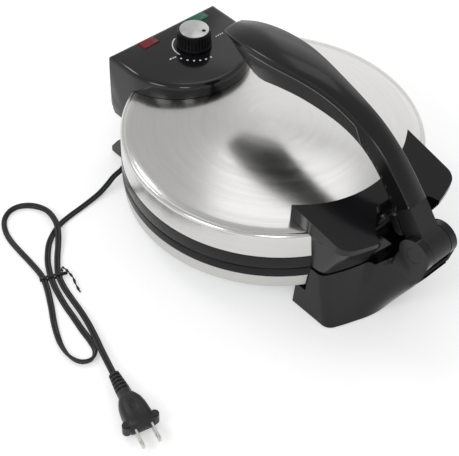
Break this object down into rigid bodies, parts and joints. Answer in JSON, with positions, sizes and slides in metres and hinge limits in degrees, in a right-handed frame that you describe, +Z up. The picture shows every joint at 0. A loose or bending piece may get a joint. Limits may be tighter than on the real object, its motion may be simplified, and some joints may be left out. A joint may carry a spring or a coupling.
{
  "type": "electric roti maker",
  "caption": "Round hinged flat-bread press with heated plates, a steel lid, an arched press lever, a control box with knob and lamps, and a tied cord with a flat-blade plug.",
  "frame": {"origin": "on the table under the middle of the body's box, which lies 19.4 mm in front of the plates' axis", "axes": "+Z up, +Y towards the control box at the back, +X to the right seen from the lever's pivot"},
  "size_m": [0.3712, 0.3237, 0.1676],
  "materials": {
    "brushed_steel": "brushed",
    "galvanised": "dull zinc",
    "coated_plate": "non-stick coating",
    "heater": "oxidised",
    "zinc_steel": "zinc plated",
    "black_plastic": "gloss",
    "cover_plastic": "gloss",
    "knob_plastic": "satin",
    "bright_cap": "satin chrome",
    "bright_steel": "plain",
    "foot_rubber": "matte",
    "red_lens": "clear tinted",
    "green_lens": "clear tinted",
    "lamp_glass": "clear",
    "thermostat_body": "satin",
    "terminal_plastic": "satin",
    "cord_plastic": "satin",
    "blade_metal": "nickel plated"
  },
  "bodies": {
    "base": {"base_shell": "brushed_steel", "bottom_cover": "galvanised", "cover_screws": "zinc_steel", "lower_ring": "black_plastic", "lower_plate": "coated_plate", "lower_element": "heater", "lower_heat_shield": "galvanised", "lower_plate_screws": "zinc_steel", "front_stand": "black_plastic", "front_stand_floor": "black_plastic", "rear_stand": "black_plastic", "rear_stand_floor": "black_plastic", "stand_screws": "zinc_steel", "rubber_feet": "foot_rubber", "lever_pin": "zinc_steel", "pivot_caps": "black_plastic", "cord_relief": "cord_plastic", "power_cord": "cord_plastic", "cord_tie": "cord_plastic", "plug_body": "cord_plastic", "plug_blades": "blade_metal"},
    "lid": {"lid_shell": "brushed_steel", "upper_ring": "black_plastic", "upper_plate": "coated_plate", "upper_element": "heater", "upper_heat_shield": "galvanised", "upper_plate_screws": "zinc_steel", "control_housing": "black_plastic", "housing_floor": "black_plastic", "housing_screws": "zinc_steel", "lid_screws": "zinc_steel", "hinge_pins": "zinc_steel", "red_lens": "red_lens", "green_lens": "green_lens", "indicator_lamps": "lamp_glass", "thermostat": "thermostat_body", "terminal_block": "terminal_plastic", "front_bracket": "black_plastic", "bracket_screws": "zinc_steel"},
    "lever": {"lever_body": "black_plastic", "lever_cover": "cover_plastic", "lever_bush": "zinc_steel", "press_pad": "bright_steel", "lever_screws": "zinc_steel"},
    "knob": {"knob_body": "knob_plastic", "knob_cap": "bright_cap", "thermostat_shaft": "zinc_steel"}
  },
  "joints": [
    {"name": "lid_hinge", "type": "hinge", "parent": "base", "child": "lid", "pos_m": [0, 0.1434, 0.0535], "axis": [-1, 0, 0], "range_deg": [0, 93]},
    {"name": "lever_swing", "type": "hinge", "parent": "base", "child": "lever", "pos_m": [0, -0.1481, 0.078], "axis": [1, 0, 0], "range_deg": [0, 122]},
    {"name": "knob_turn", "type": "hinge", "parent": "lid", "child": "knob", "pos_m": [0.006, 0.1254, 0.11], "axis": [0, 0, 1], "range_deg": [0, 270]}
  ],
  "couplings": [
    {"joint": "lever_swing", "follows": "lid_hinge", "ratio": 1.3}
  ]
}
